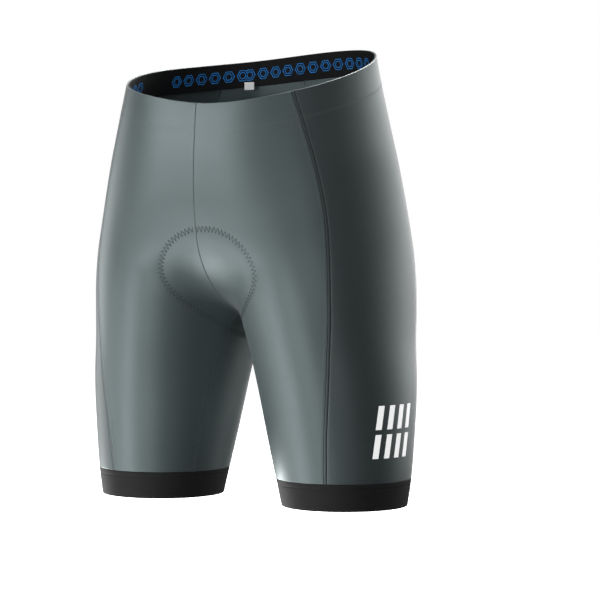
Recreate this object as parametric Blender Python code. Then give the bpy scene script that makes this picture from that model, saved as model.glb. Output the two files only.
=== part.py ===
"""Cycling shorts in their worn, hollow form, one solid for each piece that is cut and sewn.

Metres, +Z up. The front faces -Y and the wearer's left side is +X. The origin is the middle of
the waist opening at the height of the side seams' tops, where the wearer's waist holds it.
"""
import math

import bpy
import numpy as np

MM = 0.001

# Driving sizes
WAIST_FRONT = -34.7 * MM
WAIST_SIDE = 0 * MM
WAIST_BACK = 20.5 * MM
PANEL_END = -416 * MM
HEM = -444 * MM
CLOTH = 1.2 * MM
ELASTIC = 1.2 * MM
ELASTIC_DEPTH = 27 * MM
BAND = 1.6 * MM
SEAM_GAP = 0.3 * MM
FORK_FRONT = -24 * MM
FORK_BACK = 36 * MM
FORK_LEVEL_FRONT = -232 * MM
FORK_LEVEL_BACK = -236 * MM
PAD_GAP = 1.3 * MM
PAD_SHIFT = 9 * MM
PAD_EDGE = 2.0 * MM
LABEL_WIDTH = 10.5 * MM
LABEL_HEIGHT = 8 * MM
LABEL_CLOTH = 1.0 * MM
LABEL_GAP = 0.5 * MM
LABEL_PLACE = (-65 * MM, 100 * MM)
LABEL_DROP = 21.5 * MM

# How finely each piece is divided
ROWS_TO_FORK = 17
ROWS_TO_HEM = 11
FRONT_COLUMNS = 11
SIDE_COLUMNS = 9
BACK_COLUMNS = 12
INNER_COLUMNS = 6
BAND_COLUMNS = 36
PAD_ROWS = 34
PAD_COLUMNS = 9
CROWDING = 0.35

# The stretched form, in mm. Each row is one level: a tube for each leg, on an axis at
# axis_x and axis_y, which runs up into the hips, and the two tubes melt into each other
# through a fillet, wide at the hips and narrow below the crotch.
# level, axis_x, axis_y, half_width, half_depth, fillet_front, fillet_back
SECTIONS = np.array([
    (60, 40, 2, 84, 100, 34, 34),
    (0, 45, 2, 86, 103, 50, 50),
    (-50, 52, 2, 90, 107, 72, 72),
    (-100, 61, 3, 94, 109, 96, 90),
    (-150, 70, 4, 95, 110, 110, 104),
    (-190, 78, 4, 94, 109, 104, 102),
    (-220, 84, 4, 91, 106, 74, 80),
    (-245, 89, 4, 87, 102, 32, 40),
    (-275, 94, 3, 83, 96, 14, 18),
    (-320, 101, 2, 80, 87, 10, 10),
    (-370, 106, 1, 75, 78, 10, 10),
    (-416, 110, 0, 69, 70, 10, 10),
    (-460, 112, -1, 61, 63, 10, 10),
]) * MM

# The long seams: level in mm, and the direction seen from the leg's axis in degrees, where
# 0 is the front, 90 the outer side, 180 the back and a minus sign the inner side.
# level, direction
FRONT_SIDE_SEAM = [
    (60, 26), (0, 28), (-50, 33.5), (-100, 36.5), (-140, 37.5), (-190, 35),
    (-220, 32.5), (-260, 29), (-307, 24), (-340, 20.5), (-370, 17.5), (-416, 13.5),
]
BACK_SIDE_SEAM = [
    (60, 154), (0, 152), (-50, 147), (-100, 144), (-150, 143), (-200, 145),
    (-260, 150), (-320, 156), (-370, 160), (-416, 163),
]
FRONT_INNER_SEAM = [(-262, -70), (-281, -64), (-306, -62), (-340, -61), (-370, -59.5), (-416, -59.5)]
BACK_INNER_SEAM = [(-262, -112), (-285, -118), (-320, -121), (-370, -123), (-416, -124)]

# The pad's outline, in mm: distance along the centre seam from its front end, half width,
# and share of the sideways shift that the photo shows at the front
# along, half_width, shift
PAD_OUTLINE = [
    (0, 13, 1), (4, 25, 1), (10, 37, 1), (20, 49, 1), (34, 58, 1), (48, 62, 1), (60, 60, 0.9),
    (75, 51, 0.7), (92, 41, 0.4), (112, 32, 0.2), (138, 25, 0), (165, 26, 0), (188, 36, 0),
    (210, 54, 0), (232, 71, 0), (254, 81, 0), (276, 81, 0), (294, 71, 0), (306, 54, 0), (312, 34, 0),
]
PAD_FRONT_LEVEL = -158 * MM

# The pad's foam blocks, in mm, each one a soft-edged cushion above the base
# along, across, half_length, half_width, height
PAD_BLOCKS = [
    (90, 0, 25, 27, 4.5),
    (141, 12, 26, 9, 4.5),
    (188, 20, 20, 16, 5.5),
    (249, 37, 40, 25, 7.5),
]
PAD_BLOCK_EDGE = 8 * MM


def smooth_table(table, at):
    """The columns of a table at each place, on smooth curves through its rows."""
    table = np.asarray(table, float)
    order = np.argsort(table[:, 0])
    place, value = table[order, 0], table[order, 1:]
    lean = np.gradient(value, place, axis=0)
    at = np.clip(at, place[0], place[-1])
    i = np.clip(np.searchsorted(place, at, side="right") - 1, 0, len(place) - 2)
    step = place[i + 1] - place[i]
    t = ((at - place[i]) / step)[..., None]
    step = step[..., None]
    start = (1 + 2 * t) * (1 - t) ** 2 * value[i] + t * (1 - t) ** 2 * step * lean[i]
    return start + t * t * (3 - 2 * t) * value[i + 1] + t * t * (t - 1) * step * lean[i + 1]


def leg_axis(level):
    """The points of the left leg's axis at these levels."""
    row = smooth_table(SECTIONS, level)
    return np.stack([row[..., 0], row[..., 1], np.asarray(level, float)], -1)


def form(points):
    """How far each point is outside the stretched form, and below 0 inside it."""
    x, y, z = points[..., 0], points[..., 1], points[..., 2]
    row = smooth_table(SECTIONS, z)
    axis_x, axis_y, wide, deep, front, back = (row[..., i] for i in range(6))
    forward = (y - axis_y) / deep
    size = (wide + deep) / 2
    left = (np.hypot((x - axis_x) / wide, forward) - 1) * size
    right = (np.hypot((x + axis_x) / wide, forward) - 1) * size
    share = np.clip(forward / 2 + 0.5, 0, 1)
    share = share * share * (3 - 2 * share)
    fillet = front * (1 - share) + back * share
    near = np.maximum(fillet - np.abs(left - right), 0) / fillet
    return np.minimum(left, right) - near * near * fillet / 4


def slope(points):
    """The form's gradient at each point, by small differences."""
    nudge = np.eye(3) * 0.05 * MM
    sides = [form(points + n) - form(points - n) for n in nudge]
    return np.stack(sides, -1) / (0.1 * MM)


def outward(points):
    """The unit normals of the form."""
    lean = slope(points)
    return lean / np.linalg.norm(lean, axis=-1, keepdims=True)


def settle(points):
    """The points, drawn onto the form along its slope."""
    for _ in range(12):
        lean = slope(points)
        points = points - (form(points) / (lean * lean).sum(-1))[..., None] * lean
    return points


def cast(start, way):
    """Where rays from inside the form leave it. A ray that leans inwards stops at the middle plane."""
    low = np.zeros(start.shape[:-1])
    inwards = start[..., 0] * way[..., 0] < -1e-12
    to_middle = np.abs(start[..., 0]) / np.maximum(np.abs(way[..., 0]), 1e-12)
    high = np.where(inwards, np.minimum(to_middle, 0.4), 0.4)
    for _ in range(44):
        middle = (low + high) / 2
        inside = form(start + way * middle[..., None]) < 0
        low = np.where(inside, middle, low)
        high = np.where(inside, high, middle)
    return start + way * ((low + high) / 2)[..., None]


def waist_height(x, y):
    """The top edge's height by direction: a slanted ring through its front, side and back
    heights, with a second wave round it for the side's height."""
    back_share = y / np.hypot(x, y)
    lift = (WAIST_BACK - WAIST_FRONT) / 2
    bend = (WAIST_BACK + WAIST_FRONT) / 2 - WAIST_SIDE
    return WAIST_SIDE + lift * back_share + bend * back_share * back_share


def lengths(curve):
    """The distance along a curve at each of its points."""
    steps = np.linalg.norm(np.diff(curve, axis=0), axis=1)
    return np.concatenate([[0], np.cumsum(steps)])


def at_lengths(curve, wanted):
    """Points on a curve at these distances along it."""
    run = lengths(curve)
    return np.stack([np.interp(wanted, run, curve[:, i]) for i in range(3)], -1)


def below_waist(curve):
    """The part of a downward curve below the top edge, starting exactly on it."""
    over = curve[:, 2] - waist_height(curve[:, 0], curve[:, 1])
    first = int(np.argmax(over < 0))
    share = over[first - 1] / (over[first - 1] - over[first])
    edge = curve[first - 1] + share * (curve[first] - curve[first - 1])
    return np.concatenate([[edge], curve[first:]])


def directions(degrees):
    """Level unit vectors, 0 degrees to the front and 90 to the left side."""
    turn = np.radians(degrees)
    return np.stack([np.sin(turn), -np.cos(turn), np.zeros_like(turn)], -1)


def long_seam(table, levels):
    """A seam down the leg, from its table of directions."""
    table = np.array(table, float) * (MM, 1)
    degrees = smooth_table(table, levels)[..., 0]
    return cast(leg_axis(levels), directions(degrees))


def centre_seam():
    """The middle line: down the front, under the crotch and up the back."""
    levels = np.linspace(50, -150, 140) * MM
    start = np.stack([0 * levels, 0 * levels, levels], -1)
    front = cast(start, directions(0 * levels))
    back = cast(start, directions(0 * levels + 180))
    turn = np.linspace(0, math.pi, 260)[1:-1]
    way = np.stack([0 * turn, -np.cos(turn), -np.sin(turn)], -1)
    under = cast(np.zeros_like(way) + (0, 0, -150 * MM), way)
    front, back = below_waist(front), below_waist(back)
    return np.concatenate([front, under, back[::-1]])


def crowd(share, amount):
    """Even shares from 0 to 1, drawn towards 0 by a positive amount and towards 1 by a negative one."""
    return share - amount * share * (1 - share)


def row_lengths(total, rows):
    """Distances down a seam: two rows across the waist elastic, then rows closer towards the fork."""
    share = crowd(np.linspace(0, 1, rows - 1), -CROWDING)
    return np.concatenate([[0, ELASTIC_DEPTH / 2], ELASTIC_DEPTH + (total - ELASTIC_DEPTH) * share])


def rows_down(curve, fork_level):
    """A side seam's points at the panel rows, with the fork row at that level."""
    run = lengths(curve)
    fork = float(np.interp(-fork_level, -curve[:, 2], run))
    leg = np.linspace(fork, run[-1], ROWS_TO_HEM + 1)[1:]
    return at_lengths(curve, np.concatenate([row_lengths(fork, ROWS_TO_FORK), leg]))


def seams():
    """The rows of every seam of the left half, and the crotch line between the forks."""
    centre = centre_seam()
    run = lengths(centre)
    lowest = int(np.argmin(centre[:, 2]))
    front_fork = np.interp(FORK_FRONT, centre[:lowest + 30, 1], run[:lowest + 30])
    back_fork = np.interp(FORK_BACK, centre[lowest - 60:lowest + 60, 1], run[lowest - 60:lowest + 60])
    front_top = row_lengths(front_fork, ROWS_TO_FORK)
    back_top = run[-1] - row_lengths(run[-1] - back_fork, ROWS_TO_FORK)
    crotch = at_lengths(centre, np.linspace(back_fork, front_fork, INNER_COLUMNS + 1))

    levels = np.linspace(50 * MM, PANEL_END, 400)
    front_side = below_waist(long_seam(FRONT_SIDE_SEAM, levels))
    back_side = below_waist(long_seam(BACK_SIDE_SEAM, levels))
    levels = np.linspace(-262 * MM, PANEL_END, 200)
    front_inner = np.concatenate([crotch[-1:], long_seam(FRONT_INNER_SEAM, levels)])
    back_inner = np.concatenate([crotch[:1], long_seam(BACK_INNER_SEAM, levels)])

    def leg_rows(curve):
        return settle(at_lengths(curve, np.linspace(0, lengths(curve)[-1], ROWS_TO_HEM + 1)))

    return {
        "centre_front": at_lengths(centre, front_top),
        "centre_back": at_lengths(centre, back_top),
        "crotch": crotch,
        "front_side": rows_down(front_side, FORK_LEVEL_FRONT),
        "back_side": rows_down(back_side, FORK_LEVEL_BACK),
        "front_inner": leg_rows(front_inner),
        "back_inner": leg_rows(back_inner),
    }


def between(first, last, columns, amount=0):
    """A sheet on the form between two seams: in each row, rays from the leg's axis fan out
    from one seam to the other, evenly or drawn towards one of them."""
    core = leg_axis((first[:, 2] + last[:, 2]) / 2)
    way_a, way_b = first - core, last - core
    way_a = way_a / np.linalg.norm(way_a, axis=-1, keepdims=True)
    way_b = way_b / np.linalg.norm(way_b, axis=-1, keepdims=True)
    angle = np.arccos(np.clip((way_a * way_b).sum(-1), -1, 1))[:, None, None]
    share = crowd(np.linspace(0, 1, columns + 1), amount)[None, :, None]
    way = np.sin((1 - share) * angle) * way_a[:, None] + np.sin(share * angle) * way_b[:, None]
    way = way / np.linalg.norm(way, axis=-1, keepdims=True)
    sheet = cast(np.broadcast_to(core[:, None], way.shape), way)
    sheet[:, 0], sheet[:, -1] = first, last
    return sheet


def level_ends(sheet, top=False):
    """The sheet with its last row drawn to the panels' end level, and its first row to the waist edge."""
    last = sheet[-1]
    last[:, 2] = PANEL_END
    core = leg_axis(last[:, 2])
    way = (last - core) * (1, 1, 0)
    sheet[-1] = cast(core, way / np.linalg.norm(way, axis=-1, keepdims=True))
    if top:
        for _ in range(8):
            sheet[0, 1:-1, 2] = waist_height(sheet[0, 1:-1, 0], sheet[0, 1:-1, 1])
            sheet[0, 1:-1] = settle(sheet[0, 1:-1])
        sheet[0, 1:-1, 2] = waist_height(sheet[0, 1:-1, 0], sheet[0, 1:-1, 1])
    return sheet


def trimmed(sheet, normal, edges):
    """The sheet with the named edges moved in by half the seam gap, square to the seam."""
    moved = sheet.copy()
    for edge in edges:
        line = {"first": np.s_[:, 0], "last": np.s_[:, -1], "top": np.s_[0]}[edge]
        inside = {"first": np.s_[:, 1], "last": np.s_[:, -2], "top": np.s_[1]}[edge]
        along = np.gradient(sheet[line], axis=0)
        across = np.cross(normal[line], along)
        across /= np.linalg.norm(across, axis=-1, keepdims=True)
        across *= np.sign((across * (sheet[inside] - sheet[line])).sum(-1))[:, None]
        moved[line] += across * SEAM_GAP / 2
    return moved


def material(name, colour, roughness):
    """One plain cloth material for each colour of cloth."""
    made = bpy.data.materials.get(name) or bpy.data.materials.new(name)
    made.use_nodes = True
    shader = made.node_tree.nodes["Principled BSDF"]
    shader.inputs["Base Color"].default_value = (*colour, 1)
    shader.inputs["Roughness"].default_value = roughness
    made.diffuse_color = (*colour, 1)
    return made


def wall(name, outer, inner, paint, ring=False):
    """A closed wall between two like grids, with a rim on each open side."""
    rows, columns = outer.shape[:2]
    count = rows * columns
    number = np.arange(count).reshape(rows, columns)
    if ring:
        number = np.concatenate([number, number[:, :1]], axis=1)

    def quads(a, b, c, d):
        return np.stack([a, b, c, d], -1).reshape(-1, 4)

    faces = [
        quads(number[:-1, :-1], number[1:, :-1], number[1:, 1:], number[:-1, 1:]),
        quads(number[:-1, :-1], number[:-1, 1:], number[1:, 1:], number[1:, :-1]) + count,
        quads(number[0, 1:] + count, number[0, :-1] + count, number[0, :-1], number[0, 1:]),
        quads(number[-1, :-1] + count, number[-1, 1:] + count, number[-1, 1:], number[-1, :-1]),
    ]
    if not ring:
        faces += [
            quads(number[:-1, 0] + count, number[1:, 0] + count, number[1:, 0], number[:-1, 0]),
            quads(number[1:, -1] + count, number[:-1, -1] + count, number[:-1, -1], number[1:, -1]),
        ]
    points = np.concatenate([outer.reshape(-1, 3), inner.reshape(-1, 3)])
    mesh = bpy.data.meshes.new(name)
    mesh.from_pydata(points.tolist(), [], np.concatenate(faces).tolist())
    mesh.update()
    mesh.shade_smooth()
    mesh.set_sharp_from_angle(angle=math.radians(40))
    mesh.materials.append(paint)
    made = bpy.data.objects.new(name, mesh)
    PARTS.objects.link(made)
    return made


def mirrored(grid):
    """The grid on the other side of the body, with its columns turned round to face out."""
    return (grid * (-1, 1, 1))[:, ::-1]


def panel(name, sheet, edges, paint):
    """A cloth panel and its mirror image, and the left one's inner points."""
    normal = outward(sheet)
    outer = trimmed(sheet, normal, edges)
    inner = outer - normal * CLOTH
    inner[-1, :, 2] = PANEL_END
    wall(name + "_left", outer, inner, paint)
    wall(name + "_right", mirrored(outer), mirrored(inner), paint)
    return sheet - normal * CLOTH


def panels(seam, paint):
    """The eight cloth panels. It returns the inner points of the three that reach the waist."""
    front_edge = np.concatenate([seam["centre_front"], seam["front_inner"][1:]])
    back_edge = np.concatenate([seam["centre_back"], seam["back_inner"][1:]])
    front = level_ends(between(front_edge, seam["front_side"], FRONT_COLUMNS, CROWDING), top=True)
    side = level_ends(between(seam["front_side"], seam["back_side"], SIDE_COLUMNS), top=True)
    back = level_ends(between(seam["back_side"], back_edge, BACK_COLUMNS, -CROWDING), top=True)
    inner = level_ends(between(seam["back_inner"], seam["front_inner"], INNER_COLUMNS))
    inner[0] = seam["crotch"]
    both = ("first", "last")
    upper = [
        panel("front_panel", front, both, paint),
        panel("side_panel", side, both, paint),
        panel("back_panel", back, both, paint),
    ]
    panel("inner_leg_panel", inner, both + ("top",), paint)
    return upper


def waist_elastic(upper, paint):
    """The elastic inside the top edge, made from the panels' inner points, moved in."""
    rows = slice(0, 3)
    half = np.concatenate([upper[0][rows], upper[1][rows, 1:], upper[2][rows, 1:]], axis=1)
    ring = np.concatenate([half, mirrored(half)[:, 1:-1]], axis=1)
    normal = outward(ring)
    outer = ring - normal * SEAM_GAP
    wall("waist_elastic", outer, outer - normal * ELASTIC, paint, ring=True)


def leg_band(paint):
    """The gripper band round each hem, a ring just below the panels."""
    levels = np.array([PANEL_END - SEAM_GAP, PANEL_END - 7 * MM, (PANEL_END + HEM) / 2 - 2 * MM, HEM])
    degrees = np.arange(BAND_COLUMNS) * 360 / BAND_COLUMNS
    core = np.broadcast_to(leg_axis(levels)[:, None], (len(levels), BAND_COLUMNS, 3))
    outer = cast(core, np.broadcast_to(directions(degrees), core.shape))
    normal = outward(outer)
    inner = outer - normal * BAND
    inner[..., 2] = outer[..., 2]
    wall("leg_band_left", outer, inner, paint, ring=True)
    wall("leg_band_right", mirrored(outer), mirrored(inner), paint, ring=True)


def size_label(paint):
    """A small blank label that hangs over the lower edge of the elastic's inner face."""
    x, y = LABEL_PLACE
    middle = math.degrees(math.atan2(x, -y))
    reach = math.hypot(x, y)
    swing = math.degrees(LABEL_WIDTH / reach / 2)
    degrees = np.linspace(middle - swing, middle + swing, 4)
    top = waist_height(x, y) - LABEL_DROP
    levels = np.linspace(top, top - LABEL_HEIGHT, 4)
    core = np.zeros((4, 4, 3))
    core[..., 2] = levels[:, None]
    skin = cast(core, np.broadcast_to(directions(degrees), core.shape))
    normal = outward(skin)
    outer = skin - normal * (CLOTH + SEAM_GAP + ELASTIC + LABEL_GAP)
    wall("size_label", outer, outer - normal * LABEL_CLOTH, paint)


def aside(spine, across):
    """Points on the form at these distances to the side of each spine point, left being positive.
    Each row walks over the form in short steps, and the points wanted are read off its path."""
    count = 40
    step = np.abs(across).max(axis=1) / count
    here, ahead = spine, np.broadcast_to((1.0, 0, 0), spine.shape)
    path = [here]
    for _ in range(count):
        normal = outward(here)
        ahead = ahead - (ahead * normal).sum(-1, keepdims=True) * normal
        ahead = ahead / np.linalg.norm(ahead, axis=-1, keepdims=True)
        here = settle(here + ahead * step[:, None])
        path.append(here)
    path = np.stack(path, 1)
    skin = np.empty(across.shape + (3,))
    for row, wanted in enumerate(np.abs(across)):
        for axis in range(3):
            skin[row, :, axis] = np.interp(wanted, step[row] * np.arange(count + 1), path[row, :, axis])
    skin[..., 0] *= np.sign(across)
    return settle(skin)


def pad_height(along, across):
    """The pad's thickness: a thin edge, a fuller base and soft-edged foam blocks."""
    half = smooth_table(PAD_OUTLINE, along / MM)[..., 0] * MM
    length = PAD_OUTLINE[-1][0] * MM
    margin = np.minimum(half - np.abs(across), np.minimum(along, length - along) + 4 * MM)
    rise = np.clip(margin / (12 * MM), 0, 1)
    height = PAD_EDGE + 2.2 * MM * rise * rise * (3 - 2 * rise)
    for row in PAD_BLOCKS:
        at, off, half_length, half_width, lift = np.array(row) * MM
        beyond = np.maximum(np.abs(along - at) - half_length + PAD_BLOCK_EDGE, 0)
        beside = np.maximum(np.abs(np.abs(across) - off) - half_width + PAD_BLOCK_EDGE, 0)
        share = np.clip(1 - np.hypot(beyond, beside) / PAD_BLOCK_EDGE, 0, 1)
        height = height + lift * np.sin(share * math.pi / 2)
    return height


def pad(paint):
    """The seat pad inside the crotch: one moulded piece along the centre seam."""
    centre = centre_seam()
    run = lengths(centre)
    lowest = int(np.argmin(centre[:, 2]))
    first = np.interp(-PAD_FRONT_LEVEL, -centre[:lowest, 2], run[:lowest])
    ends = 1 - np.cos(np.linspace(0, math.pi, PAD_ROWS + 1))
    even = np.linspace(0, 2, PAD_ROWS + 1)
    along = (0.45 * ends + 0.55 * even) / 2 * PAD_OUTLINE[-1][0] * MM
    spine = at_lengths(centre, first + along)
    outline = smooth_table(PAD_OUTLINE, along / MM) * MM
    half, shift = outline[:, 0], outline[:, 1] / MM * PAD_SHIFT
    across = half[:, None] * np.linspace(-1, 1, 2 * PAD_COLUMNS + 1)
    skin = aside(settle(spine), across + shift[:, None])
    normal = outward(skin)
    outer = skin - normal * (CLOTH + PAD_GAP)
    thick = pad_height(np.broadcast_to(along[:, None], across.shape), across)
    wall("seat_pad", outer, outer - normal * thick[..., None], paint)


def build():
    """Every piece of the garment."""
    shell = material("grey warp-knit lycra", (0.135, 0.165, 0.168), 0.5)
    black = material("black knitted elastic", (0.012, 0.012, 0.013), 0.6)
    foam = material("grey brushed pad cloth", (0.25, 0.26, 0.27), 0.85)
    white = material("white satin label", (0.8, 0.8, 0.8), 0.5)
    waist_elastic(panels(seams(), shell), black)
    leg_band(black)
    size_label(white)
    pad(foam)


for old in list(bpy.data.objects):
    bpy.data.objects.remove(old, do_unlink=True)
PARTS = bpy.data.collections.new("cycling_shorts")
bpy.context.scene.collection.children.link(PARTS)
build()
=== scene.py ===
"""Looks of the cycling shorts: fine cloth shells, seams, stitches, elastics and the sewn-in pad.

Metres, in the part's own frame: the front faces -Y, the wearer's left side is +X, and the origin
is the middle of the waist opening at the height of the side seams' tops.
"""
import math

import bpy
import numpy as np
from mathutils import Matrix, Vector


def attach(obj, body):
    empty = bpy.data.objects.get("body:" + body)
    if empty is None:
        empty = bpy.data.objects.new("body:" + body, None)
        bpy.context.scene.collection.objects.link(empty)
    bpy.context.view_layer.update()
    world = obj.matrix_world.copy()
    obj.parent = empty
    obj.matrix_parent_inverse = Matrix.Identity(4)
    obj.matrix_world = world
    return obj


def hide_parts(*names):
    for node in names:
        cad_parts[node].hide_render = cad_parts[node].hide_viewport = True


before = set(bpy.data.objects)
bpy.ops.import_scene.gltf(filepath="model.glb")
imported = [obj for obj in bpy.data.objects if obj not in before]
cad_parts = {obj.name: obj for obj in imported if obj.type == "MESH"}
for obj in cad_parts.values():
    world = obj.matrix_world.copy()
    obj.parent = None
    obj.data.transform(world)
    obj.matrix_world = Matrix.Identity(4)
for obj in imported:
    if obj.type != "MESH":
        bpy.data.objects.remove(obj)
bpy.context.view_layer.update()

MM = 0.001

# The camera, as the photograph was taken: from 32 degrees to the wearer's left of the front
CAMERA_TURN = math.radians(32)
CAMERA_DISTANCE = 2.83
CAMERA_HEIGHT = -0.113
TARGET_HEIGHT = -0.237
LENS = 163.3
SHIFT = 0.0792

# Driving sizes, the same as the CAD's
WAIST_FRONT = -34.7 * MM
WAIST_SIDE = 0 * MM
WAIST_BACK = 20.5 * MM
PANEL_END = -416 * MM
HEM = -444 * MM
CLOTH = 1.2 * MM
ELASTIC = 1.2 * MM
ELASTIC_DEPTH = 27 * MM
BAND = 1.6 * MM
SEAM_GAP = 0.3 * MM
FORK_FRONT = -24 * MM
FORK_BACK = 36 * MM
FORK_LEVEL_FRONT = -232 * MM
FORK_LEVEL_BACK = -236 * MM
PAD_GAP = 1.3 * MM
PAD_SHIFT = 9 * MM
PAD_EDGE = 2.0 * MM
LABEL_WIDTH = 10.5 * MM
LABEL_HEIGHT = 8 * MM
LABEL_CLOTH = 1.0 * MM
LABEL_PLACE = (-65 * MM, 100 * MM)
LABEL_DROP = 21.5 * MM
CROWDING = 0.35

# The CAD's coarse grid, which the fine cloth is drawn through
ROWS_TO_FORK = 17
ROWS_TO_HEM = 11
FRONT_COLUMNS = 11
SIDE_COLUMNS = 9
BACK_COLUMNS = 12
INNER_COLUMNS = 6

# The fine cloth: the grid's step, and the extra rows and columns that round its edges
STEP = 2.6 * MM
EDGE_STEPS = np.array([0, 0.1, 0.28, 0.55, 1.0, 1.8, 2.45, 2.75, 3.0, 3.25, 3.55, 4.4]) * MM
EDGE_ROUND = 0.5 * MM

# Seams and stitches, as worn
NEEDLE_LINE = 3.0 * MM
NEEDLE_GROOVE = (0.45 * MM, 0.45 * MM)
WAIST_STITCH_LINE = 28.2 * MM
WAIST_LEAN = 3.2 * MM
WAIST_LIFTS = [(137, 30, 4.0 * MM), (-93, 28, 1.4 * MM)]
LEAN_START = -35 * MM
LEAN_END = -125 * MM
THREAD = 0.2 * MM
PAD_THREAD = 0.3 * MM
WAIST_THREAD = 0.14 * MM
JOINT_THREAD = 0.5 * MM
NEEDLE_THREAD = 0.24 * MM
THREAD_SIDES = 5
THREAD_TAPER = 0.55
THREAD_FLATNESS = 0.8
TICK_PITCH = 1.5 * MM
DASH_PITCH = 2.6 * MM
FLAT_PITCH = 1.6 * MM
ZIGZAG_PITCH = 4.6 * MM
COVER_PITCH = 2.2 * MM

# The cloth's finish, and the elastic's printed chain
CLOTH_ROUGHNESS = 0.44
CLOTH_SHEEN = 0.3
CLOTH_TINT = "#ECFFFF"
CLOTH_FINISH = ("#4B5657", 0.95)
# The side panels' cloth: the same knit in a darker colour, which is painted shade, and with less shine
SIDE_CLOTH_PAINTED_SHADE_FINISH = ("#41494A", 0.7)
PRINT_START = 103 * MM
CELL_LENGTH = 15.6 * MM
CELLS = 13
GROUP_LENGTH = 248.6 * MM
HEXAGON_DROP = 13.8 * MM
HEXAGON_REACH = 5.4 * MM
HEXAGON_INSET = 2.2 * MM
HEXAGON_LINE = 0.8 * MM

# level, axis_x, axis_y, half_width, half_depth, fillet_front, fillet_back
SECTIONS = np.array([
    (60, 40, 2, 84, 100, 34, 34),
    (0, 45, 2, 86, 103, 50, 50),
    (-50, 52, 2, 90, 107, 72, 72),
    (-100, 61, 3, 94, 109, 96, 90),
    (-150, 70, 4, 95, 110, 110, 104),
    (-190, 78, 4, 94, 109, 104, 102),
    (-220, 84, 4, 91, 106, 74, 80),
    (-245, 89, 4, 87, 102, 32, 40),
    (-275, 94, 3, 83, 96, 14, 18),
    (-320, 101, 2, 80, 87, 10, 10),
    (-370, 106, 1, 75, 78, 10, 10),
    (-416, 110, 0, 69, 70, 10, 10),
    (-460, 112, -1, 61, 63, 10, 10),
]) * MM

# The long seams: level in mm, and the direction seen from the leg's axis in degrees
FRONT_SIDE_SEAM = [
    (60, 26), (0, 28), (-50, 33.5), (-100, 36.5), (-140, 37.5), (-190, 35),
    (-220, 32.5), (-260, 29), (-307, 24), (-340, 20.5), (-370, 17.5), (-416, 13.5),
]
BACK_SIDE_SEAM = [
    (60, 154), (0, 152), (-50, 147), (-100, 144), (-150, 143), (-200, 145),
    (-260, 150), (-320, 156), (-370, 160), (-416, 163),
]
FRONT_INNER_SEAM = [(-262, -70), (-281, -64), (-306, -62), (-340, -61), (-370, -59.5), (-416, -59.5)]
BACK_INNER_SEAM = [(-262, -112), (-285, -118), (-320, -121), (-370, -123), (-416, -124)]

# The pad's outline in mm, and its foam blocks
# along, half_width, shift
PAD_OUTLINE = [
    (0, 13, 1), (4, 25, 1), (10, 37, 1), (20, 49, 1), (34, 58, 1), (48, 62, 1), (60, 60, 0.9),
    (75, 51, 0.7), (92, 41, 0.4), (112, 32, 0.2), (138, 25, 0), (165, 26, 0), (188, 36, 0),
    (210, 54, 0), (232, 71, 0), (254, 81, 0), (276, 81, 0), (294, 71, 0), (306, 54, 0), (312, 34, 0),
]
PAD_FRONT_LEVEL = -158 * MM
# along, across, half_length, half_width, height
PAD_BLOCKS = [
    (90, 0, 25, 27, 4.5),
    (141, 12, 26, 9, 4.5),
    (188, 20, 20, 16, 5.5),
    (249, 37, 40, 25, 7.5),
]
PAD_BLOCK_EDGE = 8 * MM
# along and across of both ends, depth, half_width: slits in the front fan, the arc behind them,
# cross lines between the blocks and the rear's two slanted lines
PAD_LINES = [
    (7, 0, 45, 0, 2.0, 1.1), (13, 15, 46, 13, 2.0, 1.1), (24, 31, 50, 26, 2.0, 1.1),
    (54, 0, 55, 9, 0.8, 1.0), (55, 9, 60, 20, 0.8, 1.0), (60, 20, 68, 28, 0.8, 1.0),
    (116, 3, 116, 17, 0.9, 1.2), (167, 5, 167, 24, 0.9, 1.2), (232, 4, 292, 19, 0.9, 1.0),
]
PAD_BASE = 2.2 * MM
PAD_EDGE_SLOPE = 12 * MM
PAD_EDGE_LINE = 7 * MM
PAD_EDGE_GROOVE = (0.6 * MM, 1.0 * MM)
PAD_RISE = 0.4 * MM
PAD_RISE_REACH = 14 * MM
PAD_TROUGH = (0.25 * MM, 3.0 * MM)
PAD_STITCH_INSET = 3.5 * MM
PAD_ROWS = 240
PAD_COLUMNS = 151

# Elastics, label and print
BAND_AROUND = 360
BAND_RIBS = 120
BAND_GIRTH = 0.42
BAND_GAP = 0.1 * MM
BAND_LINE = 5.5 * MM
BAND_GROOVE = (0.3 * MM, 0.5 * MM)
ELASTIC_AROUND = 420
ELASTIC_JOIN = -149.6
ELASTIC_LAP = 9 * MM
LAP_GAP = 0.15 * MM
LAP_LEAD = 7 * MM
LAP_SLOPE = 6 * MM
LABEL_RIBBON = 0.38 * MM
PRINT_REACH = 77 * MM
PRINT_WIDTH = 7.0 * MM
PRINT_HEIGHT = 24 * MM
PRINT_PITCH = 14.2 * MM
PRINT_SLANT = 4 * MM
PRINT_FILM = 0.12 * MM
# level and direction of each row's first bar
PRINT_ROWS = [(-337.5 * MM, 60), (-366.5 * MM, 57)]
PRINT_GRID = (15, 5)


# The worn form, and the seams on it

def smooth_table(table, at):
    """The columns of a table at each place, on smooth cubic curves through its rows."""
    table = np.asarray(table, float)
    order = np.argsort(table[:, 0])
    place, value = table[order, 0], table[order, 1:]
    lean = np.gradient(value, place, axis=0)
    at = np.clip(at, place[0], place[-1])
    i = np.clip(np.searchsorted(place, at, side="right") - 1, 0, len(place) - 2)
    step = place[i + 1] - place[i]
    t = ((at - place[i]) / step)[..., None]
    step = step[..., None]
    return hermite(value[i], step * lean[i], value[i + 1], step * lean[i + 1], t)


def eased(share):
    """A share from 0 to 1 as a smooth step: three times its square less twice its cube."""
    return share * share * (3 - 2 * share)


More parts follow.
